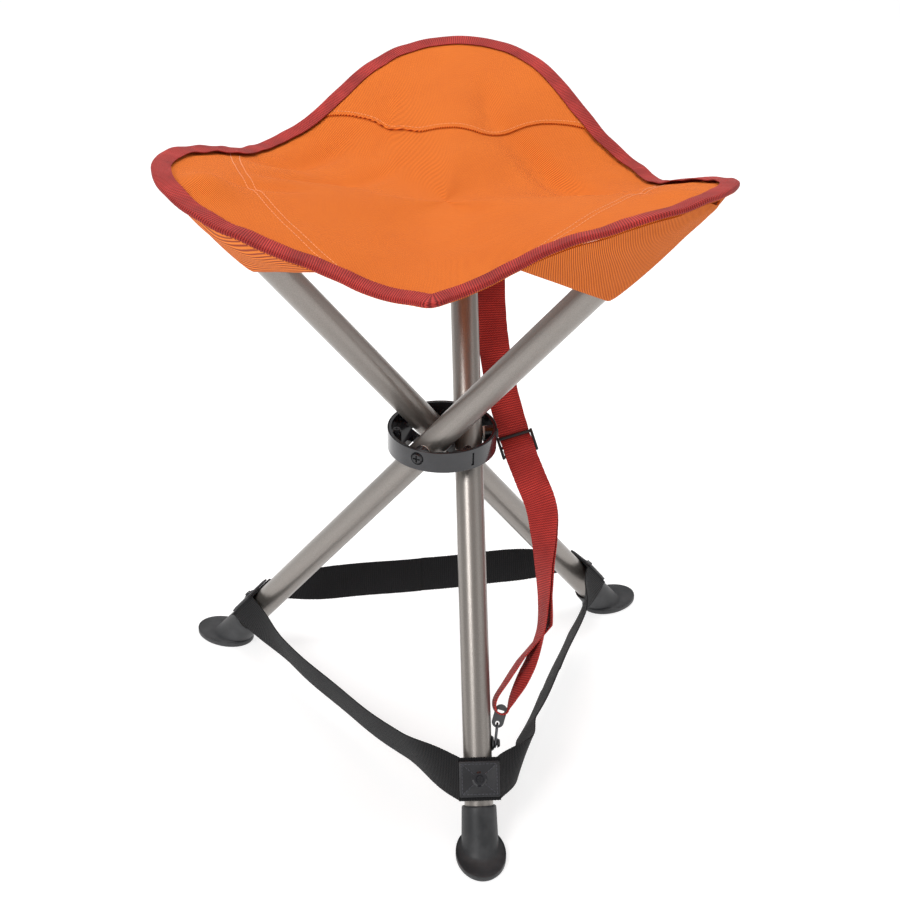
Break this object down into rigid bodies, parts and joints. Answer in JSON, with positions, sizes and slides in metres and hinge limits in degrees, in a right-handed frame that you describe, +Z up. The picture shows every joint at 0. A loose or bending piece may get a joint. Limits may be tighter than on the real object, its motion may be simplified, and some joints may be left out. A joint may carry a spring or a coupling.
{
  "type": "three leg stool",
  "caption": "Folding tripod stool with crossed tubular legs on a round hub, a three-cornered cloth seat, a webbing stretcher round the feet and a carry strap",
  "frame": {"origin": "on the floor, under the middle of the open stool's outline", "axes": "+Z up; +Y towards the seat corner that carries the strap and the back flap; the first leg leans in the YZ plane"},
  "size_m": [0.4125, 0.452, 0.5082],
  "materials": {
    "hub_plastic": "gloss black moulded plastic",
    "screw_steel": "zinc plated steel",
    "washer_plastic": "natural nylon",
    "leg_metal": "satin taupe-grey metallic paint",
    "boot_rubber": "smooth dark grey rubber",
    "black_plastic": "black moulded plastic",
    "seat_cloth": "orange twill canvas",
    "red_binding": "ribbed red binding tape",
    "black_vinyl": "black grained vinyl",
    "black_webbing": "black woven webbing",
    "red_webbing": "red woven webbing",
    "clip_plastic": "dark grey moulded plastic"
  },
  "bodies": {
    "hub": {"hub_ring": "hub_plastic", "hub_spider": "hub_plastic", "hub_spider_screws": "screw_steel", "pivot_screws": "screw_steel", "pivot_washers": "washer_plastic"},
    "leg_1": {"leg_1_tube": "leg_metal", "leg_1_foot": "boot_rubber", "leg_1_end_cap": "black_plastic", "seat_pocket_1": "seat_cloth", "seat_screw_1": "screw_steel", "stretcher_patch_1": "black_vinyl", "stretcher_screw_1": "screw_steel", "carry_strap": "red_webbing", "carry_strap_tab": "red_webbing", "strap_slider": "black_plastic", "strap_clip": "clip_plastic", "strap_ring": "screw_steel", "strap_anchor_screw": "screw_steel"},
    "seat_1": {"seat_panel_1": "seat_cloth", "seat_binding_1": "red_binding", "back_flap": "seat_cloth"},
    "stretcher_1_left": {"stretcher_1_left": "black_webbing"},
    "stretcher_1_right": {"stretcher_1_right": "black_webbing"},
    "leg_2": {"leg_2_tube": "leg_metal", "leg_2_foot": "boot_rubber", "leg_2_end_cap": "black_plastic", "seat_pocket_2": "seat_cloth", "seat_screw_2": "screw_steel", "stretcher_patch_2": "black_vinyl", "stretcher_screw_2": "screw_steel"},
    "seat_2": {"seat_panel_2": "seat_cloth", "seat_binding_2": "red_binding"},
    "stretcher_2_left": {"stretcher_2_left": "black_webbing"},
    "stretcher_2_right": {"stretcher_2_right": "black_webbing"},
    "leg_3": {"leg_3_tube": "leg_metal", "leg_3_foot": "boot_rubber", "leg_3_end_cap": "black_plastic", "seat_pocket_3": "seat_cloth", "seat_screw_3": "screw_steel", "stretcher_patch_3": "black_vinyl", "stretcher_screw_3": "screw_steel"},
    "seat_3": {"seat_panel_3": "seat_cloth", "seat_binding_3": "red_binding"},
    "stretcher_3_left": {"stretcher_3_left": "black_webbing"},
    "stretcher_3_right": {"stretcher_3_right": "black_webbing"}
  },
  "joints": [
    {"name": "leg_1_fold", "type": "hinge", "parent": "hub", "child": "leg_1", "pos_m": [0.0312, 0.0062, 0.253], "axis": [1, 0, 0], "range_deg": [0, 38.4], "deforming": ["seat_pocket_1"]},
    {"name": "leg_2_fold", "type": "hinge", "parent": "hub", "child": "leg_2", "pos_m": [0, -0.01181, 0.253], "axis": [-0.5, -0.866, 0], "range_deg": [0, 38.4], "deforming": ["seat_pocket_2"]},
    {"name": "leg_3_fold", "type": "hinge", "parent": "hub", "child": "leg_3", "pos_m": [0, 0.02421, 0.253], "axis": [-0.5, 0.866, 0], "range_deg": [0, 38.4], "deforming": ["seat_pocket_3"]},
    {"name": "seat_1_fall", "type": "hinge", "parent": "leg_1", "child": "seat_1", "pos_m": [0.0312, 0.19006, 0.48497], "axis": [0.2443, -0.8283, -0.5043], "range_deg": [0, 91.6], "deforming": ["seat_panel_1", "seat_binding_1", "back_flap"]},
    {"name": "seat_2_fall", "type": "hinge", "parent": "leg_2", "child": "seat_2", "pos_m": [0.15923, -0.10374, 0.48497], "axis": [-0.8394, 0.2026, -0.5043], "range_deg": [0, 91.6], "deforming": ["seat_panel_2", "seat_binding_2"]},
    {"name": "seat_3_fall", "type": "hinge", "parent": "leg_3", "child": "seat_3", "pos_m": [-0.15923, -0.06772, 0.48497], "axis": [0.5951, 0.6257, -0.5043], "range_deg": [0, 91.6], "deforming": ["seat_panel_3", "seat_binding_3"]},
    {"name": "stretcher_1_left_turn", "type": "hinge", "parent": "leg_1", "child": "stretcher_1_left", "pos_m": [0.0141, -0.16983, 0.05055], "axis": [-0.1623, 0.3245, 0.9319], "range_deg": [0, 130.02], "deforming": ["stretcher_1_left"]},
    {"name": "stretcher_1_right_turn", "type": "hinge", "parent": "leg_1", "child": "stretcher_1_right", "pos_m": [0.0483, -0.16983, 0.05055], "axis": [-0.9408, 0.1115, 0.3202], "range_deg": [0, 40.63], "deforming": ["stretcher_1_right"]},
    {"name": "stretcher_2_left_turn", "type": "hinge", "parent": "leg_2", "child": "stretcher_2_left", "pos_m": [-0.1439, 0.09101, 0.05055], "axis": [0.3622, -0.0217, 0.9319], "range_deg": [0, 130.02], "deforming": ["stretcher_2_left"]},
    {"name": "stretcher_2_right_turn", "type": "hinge", "parent": "leg_2", "child": "stretcher_2_right", "pos_m": [-0.161, 0.06139, 0.05055], "axis": [0.567, 0.759, 0.3202], "range_deg": [0, 40.63], "deforming": ["stretcher_2_right"]},
    {"name": "stretcher_3_left_turn", "type": "hinge", "parent": "leg_3", "child": "stretcher_3_left", "pos_m": [0.161, 0.09742, 0.05055], "axis": [-0.1999, -0.3028, 0.9319], "range_deg": [0, 130.02], "deforming": ["stretcher_3_left"]},
    {"name": "stretcher_3_right_turn", "type": "hinge", "parent": "leg_3", "child": "stretcher_3_right", "pos_m": [0.1439, 0.12704, 0.05055], "axis": [0.3738, -0.8705, 0.3202], "range_deg": [0, 40.63], "deforming": ["stretcher_3_right"]}
  ],
  "couplings": [
    {"joint": "leg_2_fold", "follows": "leg_1_fold", "ratio": 1},
    {"joint": "leg_3_fold", "follows": "leg_1_fold", "ratio": 1},
    {"joint": "seat_1_fall", "follows": "leg_1_fold", "ratio": 2.3853},
    {"joint": "seat_2_fall", "follows": "leg_1_fold", "ratio": 2.3853},
    {"joint": "seat_3_fall", "follows": "leg_1_fold", "ratio": 2.3853},
    {"joint": "stretcher_1_left_turn", "follows": "leg_1_fold", "ratio": 3.3859},
    {"joint": "stretcher_1_right_turn", "follows": "leg_1_fold", "ratio": 1.058},
    {"joint": "stretcher_2_left_turn", "follows": "leg_1_fold", "ratio": 3.3859},
    {"joint": "stretcher_2_right_turn", "follows": "leg_1_fold", "ratio": 1.058},
    {"joint": "stretcher_3_left_turn", "follows": "leg_1_fold", "ratio": 3.3859},
    {"joint": "stretcher_3_right_turn", "follows": "leg_1_fold", "ratio": 1.058}
  ]
}
